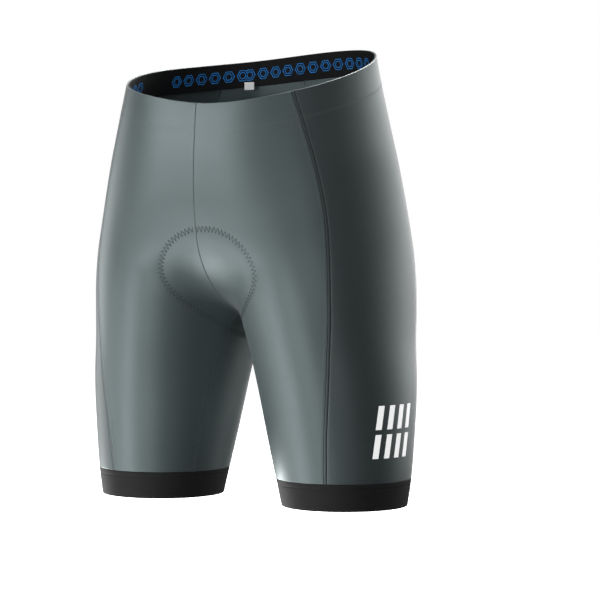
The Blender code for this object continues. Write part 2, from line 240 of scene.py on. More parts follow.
def hermite(start, start_lean, end, end_lean, t):
    """The cubic that leaves one value with one lean and reaches the next with the other."""
    first = (1 + 2 * t) * (1 - t) ** 2 * start + t * (1 - t) ** 2 * start_lean
    return first + t * t * (3 - 2 * t) * end + t * t * (t - 1) * end_lean


def leg_axis(level):
    """The points of the left leg's axis at these levels."""
    row = smooth_table(SECTIONS, level)
    return np.stack([row[..., 0], row[..., 1], np.asarray(level, float)], -1)


def form(points):
    """How far each point is outside the stretched form: two elliptic leg tubes, melted into each
    other by a smooth minimum whose reach is the fillet of that level."""
    x, y, z = points[..., 0], points[..., 1], points[..., 2]
    row = smooth_table(SECTIONS, z)
    axis_x, axis_y, wide, deep, front, back = (row[..., i] for i in range(6))
    forward = (y - axis_y) / deep
    size = (wide + deep) / 2
    left = (np.hypot((x - axis_x) / wide, forward) - 1) * size
    right = (np.hypot((x + axis_x) / wide, forward) - 1) * size
    share = eased(np.clip(forward / 2 + 0.5, 0, 1))
    fillet = front * (1 - share) + back * share
    near = np.maximum(fillet - np.abs(left - right), 0) / fillet
    return np.minimum(left, right) - near * near * fillet / 4


def slope(points):
    """The form's gradient at each point, by small differences."""
    nudge = np.eye(3) * 0.05 * MM
    return np.stack([form(points + n) - form(points - n) for n in nudge], -1) / (0.1 * MM)


def outward(points):
    """The unit normals of the form."""
    return unit(slope(points))


def unit(vectors):
    """The vectors, each divided by its length."""
    return vectors / np.linalg.norm(vectors, axis=-1, keepdims=True)


def settle(points, rounds=8):
    """The points, drawn onto the form along its slope by Newton's steps."""
    for _ in range(rounds):
        lean = slope(points)
        points = points - (form(points) / (lean * lean).sum(-1))[..., None] * lean
    return points


def cast(start, way):
    """Where rays from inside the form leave it. A ray that leans inwards stops at the middle plane."""
    low = np.zeros(start.shape[:-1])
    inwards = start[..., 0] * way[..., 0] < -1e-12
    to_middle = np.abs(start[..., 0]) / np.maximum(np.abs(way[..., 0]), 1e-12)
    high = np.where(inwards, np.minimum(to_middle, 0.4), 0.4)
    for _ in range(44):
        middle = (low + high) / 2
        inside = form(start + way * middle[..., None]) < 0
        low = np.where(inside, middle, low)
        high = np.where(inside, high, middle)
    return start + way * ((low + high) / 2)[..., None]


def waist_height(x, y):
    """The top edge's height by direction: a slanted ring through its front, side and back
    heights, with a second wave round it for the side's height."""
    back_share = y / np.hypot(x, y)
    lift = (WAIST_BACK - WAIST_FRONT) / 2
    bend = (WAIST_BACK + WAIST_FRONT) / 2 - WAIST_SIDE
    return WAIST_SIDE + lift * back_share + bend * back_share * back_share


def waist_ring(degrees, distance):
    """Points of the form straight below the top edge, in these directions from the middle."""
    way = directions(degrees)
    start = np.zeros(way.shape)
    start[..., 2] = waist_height(way[..., 0], way[..., 1]) - distance
    return cast(start, way)


def leaned(points):
    """The points, with the worn waist turned a little on the body: lifted with the sine of twice
    the direction and by two bell curves round it, and less and less down to the hips."""
    x, y, z = points[..., 0], points[..., 1], points[..., 2]
    share = eased(np.clip((z - LEAN_END) / (LEAN_START - LEAN_END), 0, 1))
    turn = np.degrees(np.arctan2(x, -y))
    lift = -WAIST_LEAN * np.sin(2 * np.radians(turn))
    for middle, width, height in WAIST_LIFTS:
        away = (turn - middle + 180) % 360 - 180
        lift = lift + height * np.exp(-(away / width) ** 2)
    moved = points.copy()
    moved[..., 2] += lift * share
    return moved


def lengths(curve):
    """The distance along a curve at each of its points."""
    steps = np.linalg.norm(np.diff(curve, axis=0), axis=1)
    return np.concatenate([[0], np.cumsum(steps)])


def at_lengths(curve, wanted):
    """Points on a curve at these distances along it."""
    run = lengths(curve)
    return np.stack([np.interp(wanted, run, curve[:, i]) for i in range(3)], -1)


def below_waist(curve):
    """The part of a downward curve below the top edge, starting exactly on it."""
    over = curve[:, 2] - waist_height(curve[:, 0], curve[:, 1])
    first = int(np.argmax(over < 0))
    share = over[first - 1] / (over[first - 1] - over[first])
    edge = curve[first - 1] + share * (curve[first] - curve[first - 1])
    return np.concatenate([[edge], curve[first:]])


def directions(degrees):
    """Level unit vectors, 0 degrees to the front and 90 to the left side."""
    turn = np.radians(degrees)
    return np.stack([np.sin(turn), -np.cos(turn), np.zeros_like(turn)], -1)


def long_seam(table, levels):
    """A seam down the leg, from its table of directions."""
    table = np.array(table, float) * (MM, 1)
    return cast(leg_axis(levels), directions(smooth_table(table, levels)[..., 0]))


def centre_seam():
    """The middle line: down the front, under the crotch and up the back."""
    levels = np.linspace(50, -150, 140) * MM
    start = np.stack([0 * levels, 0 * levels, levels], -1)
    front = cast(start, directions(0 * levels))
    back = cast(start, directions(0 * levels + 180))
    turn = np.linspace(0, math.pi, 260)[1:-1]
    way = np.stack([0 * turn, -np.cos(turn), -np.sin(turn)], -1)
    under = cast(np.zeros_like(way) + (0, 0, -150 * MM), way)
    front, back = below_waist(front), below_waist(back)
    return np.concatenate([front, under, back[::-1]])


def crowd(share, amount):
    """Even shares from 0 to 1, drawn towards 0 by a positive amount and towards 1 by a negative one."""
    return share - amount * share * (1 - share)


def row_lengths(total, rows):
    """Distances down a seam: two rows across the waist elastic, then rows closer towards the fork."""
    share = crowd(np.linspace(0, 1, rows - 1), -CROWDING)
    return np.concatenate([[0, ELASTIC_DEPTH / 2], ELASTIC_DEPTH + (total - ELASTIC_DEPTH) * share])


def rows_down(curve, fork_level):
    """A side seam's points at the panel rows, with the fork row at that level."""
    run = lengths(curve)
    fork = float(np.interp(-fork_level, -curve[:, 2], run))
    leg = np.linspace(fork, run[-1], ROWS_TO_HEM + 1)[1:]
    return at_lengths(curve, np.concatenate([row_lengths(fork, ROWS_TO_FORK), leg]))


def seams():
    """The rows of every seam of the left half, and the crotch line between the forks."""
    centre = centre_seam()
    run = lengths(centre)
    lowest = int(np.argmin(centre[:, 2]))
    front_fork = np.interp(FORK_FRONT, centre[:lowest + 30, 1], run[:lowest + 30])
    back_fork = np.interp(FORK_BACK, centre[lowest - 60:lowest + 60, 1], run[lowest - 60:lowest + 60])
    front_top = row_lengths(front_fork, ROWS_TO_FORK)
    back_top = run[-1] - row_lengths(run[-1] - back_fork, ROWS_TO_FORK)
    crotch = at_lengths(centre, np.linspace(back_fork, front_fork, INNER_COLUMNS + 1))

    levels = np.linspace(50 * MM, PANEL_END, 400)
    front_side = below_waist(long_seam(FRONT_SIDE_SEAM, levels))
    back_side = below_waist(long_seam(BACK_SIDE_SEAM, levels))
    levels = np.linspace(-262 * MM, PANEL_END, 200)
    front_inner = np.concatenate([crotch[-1:], long_seam(FRONT_INNER_SEAM, levels)])
    back_inner = np.concatenate([crotch[:1], long_seam(BACK_INNER_SEAM, levels)])

    def leg_rows(curve):
        return settle(at_lengths(curve, np.linspace(0, lengths(curve)[-1], ROWS_TO_HEM + 1)))

    return {
        "centre_front": at_lengths(centre, front_top),
        "centre_back": at_lengths(centre, back_top),
        "crotch": crotch,
        "front_side": rows_down(front_side, FORK_LEVEL_FRONT),
        "back_side": rows_down(back_side, FORK_LEVEL_BACK),
        "front_inner": leg_rows(front_inner),
        "back_inner": leg_rows(back_inner),
    }


def between(first, last, columns, amount=0):
    """A sheet on the form between two seams: in each row, rays from the leg's axis fan out
    from one seam to the other, evenly or drawn towards one of them."""
    core = leg_axis((first[:, 2] + last[:, 2]) / 2)
    way_a, way_b = unit(first - core), unit(last - core)
    angle = np.arccos(np.clip((way_a * way_b).sum(-1), -1, 1))[:, None, None]
    share = crowd(np.linspace(0, 1, columns + 1), amount)[None, :, None]
    way = unit(np.sin((1 - share) * angle) * way_a[:, None] + np.sin(share * angle) * way_b[:, None])
    sheet = cast(np.broadcast_to(core[:, None], way.shape), way)
    sheet[:, 0], sheet[:, -1] = first, last
    return sheet


def level_ends(sheet, top=False):
    """The sheet with its last row at the panels' end level, and its first row on the waist edge."""
    last = sheet[-1]
    last[:, 2] = PANEL_END
    core = leg_axis(last[:, 2])
    sheet[-1] = cast(core, unit((last - core) * (1, 1, 0)))
    if top:
        for _ in range(8):
            sheet[0, 1:-1, 2] = waist_height(sheet[0, 1:-1, 0], sheet[0, 1:-1, 1])
            sheet[0, 1:-1] = settle(sheet[0, 1:-1])
        sheet[0, 1:-1, 2] = waist_height(sheet[0, 1:-1, 0], sheet[0, 1:-1, 1])
    return sheet


# Fine cloth, drawn through the coarse grid of the seams

def along_rows(grid, places, corner=None):
    """Smooth curves through a grid's rows, read at these row numbers. At the corner row the
    curves may turn, so each side of it is drawn on its own."""
    if corner:
        upper = along_rows(grid[:corner + 1], places[places < corner])
        return np.concatenate([upper, along_rows(grid[corner:], places[places >= corner] - corner)])
    lean = np.gradient(grid, axis=0)
    i = np.clip(np.floor(places).astype(int), 0, len(grid) - 2)
    t = (places - i)[:, None, None]
    return hermite(grid[i], lean[i], grid[i + 1], lean[i + 1], t)


def along_columns(grid, places):
    """The same across the rows, where each row has its own places."""
    lean = np.gradient(grid, axis=1)
    i = np.clip(np.floor(places).astype(int), 0, grid.shape[1] - 2)
    row = np.arange(len(grid))[:, None]
    t = (places - i)[..., None]
    return hermite(grid[row, i], lean[row, i], grid[row, i + 1], lean[row, i + 1], t)


def fine_places(steps, corner):
    """Row numbers at an even spacing over rows of these heights, with closer rows at both edges.
    The corner row is kept."""
    run = np.concatenate([[0], np.cumsum(steps)])
    even = np.linspace(0, run[-1], int(round(run[-1] / STEP)) + 1)
    kept = np.concatenate([EDGE_STEPS, run[-1] - EDGE_STEPS, [run[corner or 0]]])
    far = np.abs(even[:, None] - kept).min(axis=1) > STEP / 3
    distances = np.sort(np.concatenate([even[far], kept]))
    distances = distances[np.concatenate([[True], np.diff(distances) > 1e-6])]
    return np.interp(distances, run, np.arange(len(run)))


def edge_drop(distance):
    """How far a face has sunk at this distance from a rounded edge: a quarter circle."""
    left = np.clip(EDGE_ROUND - distance, 0, EDGE_ROUND)
    return EDGE_ROUND - np.sqrt(EDGE_ROUND ** 2 - left ** 2)


class Sheet:
    """A fine sheet on the form, drawn through a coarse grid: its points and normals, and the
    distances of each point from the sheet's four edges."""

    def __init__(self, coarse, corner=None):
        steps = np.linalg.norm(np.diff(coarse, axis=0), axis=2).mean(axis=1)
        places = fine_places(steps, corner)
        grid = along_rows(coarse, places, corner)
        dense = dense_places(grid)
        chords = np.linalg.norm(np.diff(along_columns(grid, dense), axis=1), axis=2)
        run = np.concatenate([np.zeros((len(grid), 1)), np.cumsum(chords, axis=1)], axis=1)
        total = run[:, -1:]
        count = int(round(float(total.max()) / STEP))
        edge = EDGE_STEPS[-1]
        middle = edge + (total - 2 * edge) * np.linspace(0, 1, count + 1)[1:-1]
        across = np.concatenate([EDGE_STEPS + 0 * total, middle, total - EDGE_STEPS[::-1]], axis=1)
        columns = np.stack([np.interp(w, r, d) for w, r, d in zip(across, run, dense)])
        self.points = settle(along_columns(grid, columns))
        self.normal = outward(self.points)
        down = np.interp(places, np.arange(len(steps) + 1), np.concatenate([[0], np.cumsum(steps)]))
        self.from_first, self.from_last = across, total - across
        self.down = np.broadcast_to(down[:, None], across.shape)
        self.up = self.down[-1:] - self.down
        self.edge = np.minimum.reduce([self.from_first, self.from_last, self.down, self.up])


def dense_places(grid):
    """Eight places to each column of a grid, in every row."""
    columns = grid.shape[1] - 1
    return np.broadcast_to(np.linspace(0, columns, 8 * columns + 1), (len(grid), 8 * columns + 1))


def mesh_piece(name, points, faces, paint, uv=None):
    """A mesh object from whole arrays, with the waist's lean and smooth shading. faces is a list
    of arrays, each of faces with the same number of corners, and uv an optional map per vertex."""
    points = leaned(points.reshape(-1, 3))
    corners = np.concatenate([part.ravel() for part in faces])
    sizes = np.concatenate([np.full(len(part), part.shape[1]) for part in faces])
    mesh = bpy.data.meshes.new(name)
    mesh.vertices.add(len(points))
    mesh.vertices.foreach_set("co", points.ravel())
    mesh.loops.add(len(corners))
    mesh.loops.foreach_set("vertex_index", corners)
    mesh.polygons.add(len(sizes))
    mesh.polygons.foreach_set("loop_start", np.cumsum(sizes) - sizes)
    mesh.update(calc_edges=True)
    mesh.validate()
    if uv is not None:
        layer = mesh.uv_layers.new(name="cloth")
        layer.data.foreach_set("uv", uv.reshape(-1, 2)[corners].ravel())
    mesh.shade_smooth()
    mesh.materials.append(paint)
    made = bpy.data.objects.new(name, mesh)
    bpy.context.scene.collection.objects.link(made)
    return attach(made, "root")


def quads(a, b, c, d):
    """Four-sided faces from four like arrays of vertex numbers."""
    return np.stack([a, b, c, d], -1).reshape(-1, 4)


def shell(name, outer, inner, paint, uv, ring=False):
    """A closed shell between two like grids, with a rim on each open side."""
    rows, columns = outer.shape[:2]
    count = rows * columns
    number = np.arange(count).reshape(rows, columns)
    if ring:
        number = np.concatenate([number, number[:, :1]], axis=1)
    faces = [
        quads(number[:-1, :-1], number[1:, :-1], number[1:, 1:], number[:-1, 1:]),
        quads(number[:-1, :-1], number[:-1, 1:], number[1:, 1:], number[1:, :-1]) + count,
        quads(number[0, 1:] + count, number[0, :-1] + count, number[0, :-1], number[0, 1:]),
        quads(number[-1, :-1] + count, number[-1, 1:] + count, number[-1, 1:], number[-1, :-1]),
    ]
    if not ring:
        faces += [
            quads(number[:-1, 0] + count, number[1:, 0] + count, number[1:, 0], number[:-1, 0]),
            quads(number[1:, -1] + count, number[:-1, -1] + count, number[:-1, -1], number[1:, -1]),
        ]
    points = np.concatenate([outer.reshape(-1, 3), inner.reshape(-1, 3)])
    return mesh_piece(name, points, faces, paint, np.concatenate([uv.reshape(-1, 2)] * 2))


def mirrored(grid):
    """The grid on the other side of the body, with its columns turned round to face out."""
    return (grid * (-1, 1, 1))[:, ::-1]


# Materials

def linear(colour):
    """An sRGB hex colour as linear red, green, blue and alpha."""
    value = np.array([int(colour[i:i + 2], 16) for i in (1, 3, 5)]) / 255
    value = np.where(value <= 0.04045, value / 12.92, ((value + 0.055) / 1.055) ** 2.4)
    return (*value.tolist(), 1)


def add_node(paint, kind, inputs=None, **settings):
    """Adds a shader node. settings are its own properties, and inputs gives its sockets, by name
    or number, a value or another node's output."""
    made = paint.node_tree.nodes.new("ShaderNode" + kind)
    for name, value in settings.items():
        setattr(made, name, value)
    for socket, value in (inputs or {}).items():
        if isinstance(value, bpy.types.NodeSocket):
            paint.node_tree.links.new(value, made.inputs[socket])
        else:
            made.inputs[socket].default_value = value
    return made


def new_material(name):
    """An empty node material, with its shader and output."""
    paint = bpy.data.materials.new(name)
    paint.use_nodes = True
    paint.node_tree.nodes.clear()
    shader = add_node(paint, "BsdfPrincipled")
    add_node(paint, "OutputMaterial", {"Surface": shader.outputs[0]})
    return paint, shader


def set_inputs(paint, shader, inputs):
    """Sets or links the shader's sockets."""
    for socket, value in inputs.items():
        if isinstance(value, bpy.types.NodeSocket):
            paint.node_tree.links.new(value, shader.inputs[socket])
        else:
            shader.inputs[socket].default_value = value


def lycra(name, colour, specular):
    """Warp-knitted nylon and elastane, dyed in the piece and stretched: a satin face whose filaments
    give a wide soft highlight. Its loops are about 0.5 mm, too fine for the picture, so they are
    drawn 0.9 mm wide and low. The dye varies a little over the cloth."""
    paint, shader = new_material(name)
    place = add_node(paint, "UVMap", uv_map="cloth").outputs[0]
    wales, courses = (
        add_node(paint, "TexWave", {"Vector": place, "Scale": wave_scale(period)}, bands_direction=way)
        for period, way in ((0.9 * MM, "X"), (0.7 * MM, "Y")))
    loops = add_node(paint, "Math", {0: wales.outputs["Fac"], 1: courses.outputs["Fac"]},
                     operation="MULTIPLY")
    bump = add_node(paint, "Bump", {"Strength": 0.12, "Distance": 0.1 * MM, "Height": loops.outputs[0]})
    body = add_node(paint, "TexCoord").outputs["Object"]
    cloud = add_node(paint, "TexNoise", {"Vector": body, "Scale": 38.0, "Detail": 3.0})
    colours = add_node(paint, "Mix", {
        0: cloud.outputs["Fac"], 6: shade(colour, 0.95), 7: shade(colour, 1.05)}, data_type="RGBA")
    set_inputs(paint, shader, {
        "Base Color": colours.outputs[2], "Normal": bump.outputs[0],
        "Roughness": CLOTH_ROUGHNESS, "IOR": 1.53, "Specular IOR Level": specular,
        "Specular Tint": linear(CLOTH_TINT), "Sheen Weight": CLOTH_SHEEN, "Sheen Roughness": 0.35,
    })
    return paint


def wave_scale(period):
    """A wave texture's scale for stripes this far apart."""
    return 2 * math.pi / (20 * period)


def shade(colour, amount):
    """An sRGB hex colour, linear, made lighter or darker by this factor."""
    return (*(v * amount for v in linear(colour)[:3]), 1)


def printed_elastic():
    """Woven polyester and rubber elastic, matt black, with fine ribs along it, printed in blue with
    a plain chain of outlined hexagons. Ribs are 1.2 mm apart, and the print's lines 0.8 mm wide."""
    paint, shader = new_material("woven black elastic with blue print")
    place = add_node(paint, "UVMap", uv_map="cloth").outputs[0]
    parts = add_node(paint, "SeparateXYZ", {0: place})
    along, down = parts.outputs["X"], parts.outputs["Y"]

    def step(operation, first, second=0.0, third=0.0):
        return add_node(paint, "Math", {0: first, 1: second, 2: third}, operation=operation).outputs[0]

    in_group = step("MODULO", step("ADD", along, PRINT_START), GROUP_LENGTH)
    in_cell = step("SUBTRACT", step("MODULO", in_group, CELL_LENGTH), CELL_LENGTH / 2)
    x = step("ABSOLUTE", in_cell)
    y = step("ABSOLUTE", step("ADD", down, HEXAGON_DROP))
    slanted = step("MULTIPLY_ADD", x, math.cos(math.pi / 6), step("MULTIPLY", y, 0.5))
    distance = step("SUBTRACT", step("MAXIMUM", slanted, y), HEXAGON_REACH)
    outer = step("LESS_THAN", step("ABSOLUTE", distance), HEXAGON_LINE / 2)
    inner = step("LESS_THAN", step("ABSOLUTE", step("ADD", distance, HEXAGON_INSET)), HEXAGON_LINE / 2)
    in_chain = step("LESS_THAN", in_group, CELLS * CELL_LENGTH)
    shown = step("MULTIPLY", step("MAXIMUM", outer, inner), in_chain)
    ribs, weave = (
        add_node(paint, "TexWave", {"Vector": place, "Scale": wave_scale(period)}, bands_direction=way)
        for period, way in ((1.2 * MM, "Y"), (1.6 * MM, "X")))
    height = step("ADD", ribs.outputs["Fac"], step("MULTIPLY", weave.outputs["Fac"], 0.5))
    bump = add_node(paint, "Bump", {"Strength": 0.35, "Distance": 0.2 * MM, "Height": height})
    colours = add_node(paint, "Mix", {0: shown, 6: linear("#131315"), 7: linear("#2C9BF5")}, data_type="RGBA")
    set_inputs(paint, shader, {
        "Base Color": colours.outputs[2], "Normal": bump.outputs[0], "Roughness": 0.75,
        "Specular IOR Level": 0.3})
    return paint


def band_knit():
    """Circular-knitted gripper band, matt black, with fine upright ribs 1.4 mm apart and a little
    lint that lightens it in places."""
    paint, shader = new_material("black ribbed gripper knit")
    place = add_node(paint, "UVMap", uv_map="cloth").outputs[0]
    ribs, courses = (
        add_node(paint, "TexWave", {"Vector": place, "Scale": wave_scale(period)}, bands_direction=way)
        for period, way in ((1.4 * MM, "X"), (0.8 * MM, "Y")))
    height = add_node(paint, "Math", {0: ribs.outputs["Fac"], 1: courses.outputs["Fac"]}, operation="ADD")
    bump = add_node(paint, "Bump", {"Strength": 0.25, "Distance": 0.15 * MM, "Height": height.outputs[0]})
    body = add_node(paint, "TexCoord").outputs["Object"]
    cloud = add_node(paint, "TexNoise", {"Vector": body, "Scale": 60.0, "Detail": 4.0})
    colours = add_node(paint, "Mix", {0: cloud.outputs["Fac"], 6: linear("#1A1A1B"), 7: linear("#222223")},
                       data_type="RGBA")
    set_inputs(paint, shader, {
        "Base Color": colours.outputs[2], "Normal": bump.outputs[0], "Roughness": 0.8,
        "Specular IOR Level": 0.35})
    return paint


def pad_cloth():
    """Brushed polyester over moulded foam: a matt heather grey with a short soft pile, its flecks
    about 1 mm."""
    paint, shader = new_material("brushed heather polyester on foam")
    body = add_node(paint, "TexCoord").outputs["Object"]
    fleck = add_node(paint, "TexNoise", {"Vector": body, "Scale": 900.0, "Detail": 3.0, "Roughness": 0.7})
    cloud = add_node(paint, "TexNoise", {"Vector": body, "Scale": 50.0, "Detail": 2.0})
    mixed = add_node(paint, "Math", {0: fleck.outputs["Fac"], 1: cloud.outputs["Fac"]}, operation="MULTIPLY")
    colours = add_node(paint, "Mix", {0: mixed.outputs[0], 6: linear("#6F7275"), 7: linear("#B4B7BA")},
                       data_type="RGBA")
    bump = add_node(paint, "Bump", {"Strength": 0.3, "Distance": 0.2 * MM, "Height": fleck.outputs["Fac"]})
    set_inputs(paint, shader, {
        "Base Color": colours.outputs[2], "Normal": bump.outputs[0], "Roughness": 0.92,
        "Specular IOR Level": 0.2, "Sheen Weight": 0.3, "Sheen Roughness": 0.6})
    return paint


def satin():
    """Woven polyester satin ribbon, white and thin enough to let light through, with a faint rib across it
    0.6 mm apart.
    The small emission is painted light: a glow that stands for the light let through."""
    paint, shader = new_material("white polyester satin ribbon")
    place = add_node(paint, "UVMap", uv_map="cloth").outputs[0]
    ribs = add_node(paint, "TexWave", {"Vector": place, "Scale": wave_scale(0.6 * MM)}, bands_direction="Y")
    bump = add_node(paint, "Bump", {"Strength": 0.15, "Distance": 0.05 * MM, "Height": ribs.outputs["Fac"]})
    colours = add_node(paint, "Mix", {0: ribs.outputs["Fac"], 6: linear("#D9D9D7"), 7: linear("#E8E8E6")},
                       data_type="RGBA")
    set_inputs(paint, shader, {
        "Base Color": colours.outputs[2], "Normal": bump.outputs[0], "Roughness": 0.5,
        "Emission Color": (1, 1, 1, 1), "Emission Strength": 0.22})
    return paint


def sewing_thread(name, dark, pale):
    """Textured nylon thread, a shade darker than the cloth, with little shine. Its twist is 0.5 mm. Its
    darker copies, for the pad's zigzag and the seams' grooves, carry painted shade.
    """
    paint, shader = new_material(name)
    body = add_node(paint, "TexCoord").outputs["Object"]
    twist = add_node(paint, "TexWave", {"Vector": body, "Scale": wave_scale(0.5 * MM)},
                     bands_direction="DIAGONAL")
    colours = add_node(paint, "Mix", {0: twist.outputs["Fac"], 6: linear(dark), 7: linear(pale)},
                       data_type="RGBA")
    set_inputs(paint, shader, {"Base Color": colours.outputs[2], "Roughness": 0.7, "Specular IOR Level": 0.3})
    return paint


def print_film():
    """White reflective film, heat-pressed, with a faint cloth grain pressed through it, about 0.9 mm. Its
    beads send the light straight back, and the small emission is a painted reflection: a glow that stands for
    it."""
    paint, shader = new_material("white reflective film")
    body = add_node(paint, "TexCoord").outputs["Object"]
    grain = add_node(paint, "TexNoise", {"Vector": body, "Scale": 700.0, "Detail": 2.0})
    bump = add_node(paint, "Bump", {"Strength": 0.1, "Distance": 0.05 * MM, "Height": grain.outputs["Fac"]})
    colours = add_node(paint, "Mix", {0: grain.outputs["Fac"], 6: linear("#E6E8E8"), 7: linear("#F6F7F7")},
                       data_type="RGBA")
    set_inputs(paint, shader, {
        "Base Color": colours.outputs[2], "Normal": bump.outputs[0], "Roughness": 0.4,
        "Emission Color": (1, 1, 1, 1), "Emission Strength": 0.55})
    return paint


# Panels and stitches

def groove(distance, size):
    """A shallow trough at distance 0: a bell curve of this depth and half width."""
    depth, half_width = size
    return -depth * np.exp(-(distance / half_width) ** 2)


def panel_pair(name, sheet, proud, paint):
    """A cloth panel and its mirror image. proud says for each how far the cloth's outer face stands
    off the form. The inner face follows it by half, and they meet in a round at every edge."""
    drop = edge_drop(sheet.edge)
    uv = np.stack([sheet.from_first, sheet.up], -1)
    pieces = []
    for side, raised in zip(("left", "right"), proud):
        outer = sheet.points + sheet.normal * (raised - drop)[..., None]
        inner = sheet.points + sheet.normal * (0.5 * raised + drop - CLOTH)[..., None]
        if side == "right":
            outer, inner, uv = mirrored(outer), mirrored(inner), uv[:, ::-1]
        piece = shell(name + "_cloth_" + side, outer, inner, paint, uv)
        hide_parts(name + "_" + side)
        pieces.append(piece)
    return pieces


def make_sheets():
    """The fine sheets of the left half, by name."""
    seam = seams()
    front_edge = np.concatenate([seam["centre_front"], seam["front_inner"][1:]])
    back_edge = np.concatenate([seam["centre_back"], seam["back_inner"][1:]])
    front = level_ends(between(front_edge, seam["front_side"], FRONT_COLUMNS, CROWDING), top=True)
    side = level_ends(between(seam["front_side"], seam["back_side"], SIDE_COLUMNS), top=True)
    back = level_ends(between(seam["back_side"], back_edge, BACK_COLUMNS, -CROWDING), top=True)
    inner = level_ends(between(seam["back_inner"], seam["front_inner"], INNER_COLUMNS))
    inner[0] = seam["crotch"]
    return {
        "front_panel": Sheet(front, ROWS_TO_FORK),
        "side_panel": Sheet(side, ROWS_TO_FORK),
        "back_panel": Sheet(back, ROWS_TO_FORK),
        "inner_leg_panel": Sheet(inner),
    }


def make_panels(sheets, paint, side_shade_paint):
    """The eight cloth panels, with the troughs of their seams and the rise over the pad. The side
    panels take a darker copy of the knit with less shine: its darker colour is painted shade for the weaker
    sheen of the knit cut the other way."""
    for name, sheet in sheets.items():
        raised = 0
        if name == "side_panel":
            raised = raised + groove(sheet.from_first - NEEDLE_LINE, NEEDLE_GROOVE)
            raised = raised + groove(sheet.from_last - NEEDLE_LINE, NEEDLE_GROOVE)
        proud = [raised + pad_rise(sheet.points * side) for side in ((1, 1, 1), (-1, 1, 1))]
        for piece in panel_pair(name, sheet, proud, side_shade_paint if name == "side_panel" else paint):
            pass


def aside(spine, across):
    """Points on the form at these distances to the side of each spine point, left being positive.
    Each row walks over the form in short steps, and the points wanted are read off its path."""
    count = 40
    step = np.abs(across).max(axis=1) / count
    here, ahead = spine, np.broadcast_to((1.0, 0, 0), spine.shape)
    path = [here]
    for _ in range(count):
        normal = outward(here)
        ahead = unit(ahead - (ahead * normal).sum(-1, keepdims=True) * normal)
        here = settle(here + ahead * step[:, None], 4)
        path.append(here)
    path = np.stack(path, 1)
    skin = np.empty(across.shape + (3,))
    for row, wanted in enumerate(np.abs(across)):
        for axis in range(3):
            skin[row, :, axis] = np.interp(wanted, step[row] * np.arange(count + 1), path[row, :, axis])
    skin[..., 0] *= np.sign(across)
    return settle(skin)


def pad_spine(along):
    """Points of the centre seam at these distances from the pad's front end."""
    centre = centre_seam()
    run = lengths(centre)
    lowest = int(np.argmin(centre[:, 2]))
    first = np.interp(-PAD_FRONT_LEVEL, -centre[:lowest, 2], run[:lowest])
    return settle(at_lengths(centre, first + along))


def pad_edge_curve(inset):
    """The closed line on the form that runs this far inside the pad's outline."""
    table = np.array(PAD_OUTLINE, float)
    along = np.concatenate([
        np.linspace(0, 20, 12)[:-1], np.linspace(20, 292, 90)[:-1], np.linspace(292, 312, 12)])
    half, shift = smooth_table(table, along).T
    flat = np.concatenate([
        np.stack([along, shift * PAD_SHIFT / MM - half], -1),
        np.stack([along, shift * PAD_SHIFT / MM + half], -1)[::-1],
    ])
    flat = np.concatenate([flat, flat[:1]])
    even = np.linspace(0, 1, 401)[:-1]
    flat = np.stack([np.interp(even, run_share(flat), flat[:, i]) for i in range(2)], -1)
    for _ in range(6):
        flat = (np.roll(flat, 1, axis=0) + 2 * flat + np.roll(flat, -1, axis=0)) / 4
    lean = np.roll(flat, -1, axis=0) - np.roll(flat, 1, axis=0)
    inward = unit(np.stack([lean[:, 1], -lean[:, 0]], -1))
    inward *= np.sign(((flat.mean(axis=0) - flat) * inward).sum())
    flat = flat + inward * inset / MM
    return aside(pad_spine(flat[:, 0] * MM), flat[:, 1:] * MM)[:, 0]


def run_share(flat):
    """The share of a flat line's length at each of its points."""
    run = np.concatenate([[0], np.cumsum(np.linalg.norm(np.diff(flat, axis=0), axis=1))])
    return run / run[-1]


def pad_rise(points):
    """How far the cloth stands proud over the pad: a soft step up inside its stitch line, and a
    trough along the line itself."""
    flat = points.reshape(-1, 3)
    normal = outward(PAD_LINE)
    along = np.roll(PAD_LINE, -1, axis=0) - np.roll(PAD_LINE, 1, axis=0)
    inward = unit(np.cross(normal, along))
    inside = np.empty(len(flat))
    for part in np.array_split(np.arange(len(flat)), max(len(flat) // 4000, 1)):
        away = flat[part, None] - PAD_LINE
        distance = np.linalg.norm(away, axis=-1)
        nearest = distance.argmin(axis=1)
        pick = np.arange(len(part))
        side = (away[pick, nearest] * inward[nearest]).sum(-1)
        inside[part] = np.where(side > 0, 1, -1) * distance[pick, nearest]
    inside *= PAD_LINE_TURN
    rise = PAD_RISE * eased(np.clip(inside / PAD_RISE_REACH, 0, 1)) + groove(inside, PAD_TROUGH)
    return rise.reshape(points.shape[:-1])


def stitch_paths(curve, pitch, shape):
    """One kind of stitch, repeated along a curve on the form. shape gives one stitch's points:
    along in shares of the pitch, across in mm and height in mm. Each point is set aside from the
    curve, drawn back onto the form and lifted."""
    along, across, height = np.array(shape, float).T
    run = lengths(curve)
    first = (np.arange(int(run[-1] / pitch)) + 0.5)[:, None]
    at = ((first + along - along.mean()) * pitch).ravel()
    base = at_lengths(curve, at)
    ahead = unit(at_lengths(curve, at + 0.5 * MM) - at_lengths(curve, at - 0.5 * MM))
    normal = outward(base)
    beside = np.cross(normal, ahead)
    count = (len(first), len(along), 3)
    across = np.broadcast_to(across * MM, (len(first), len(along))).reshape(-1, 1)
    height = np.broadcast_to(height * MM, (len(first), len(along))).reshape(-1, 1)
    points = settle(base + beside * across)
    normal = outward(points)
    lifted = points + normal * (height + pad_rise(points)[:, None])
    return lifted.reshape(count), normal.reshape(count)


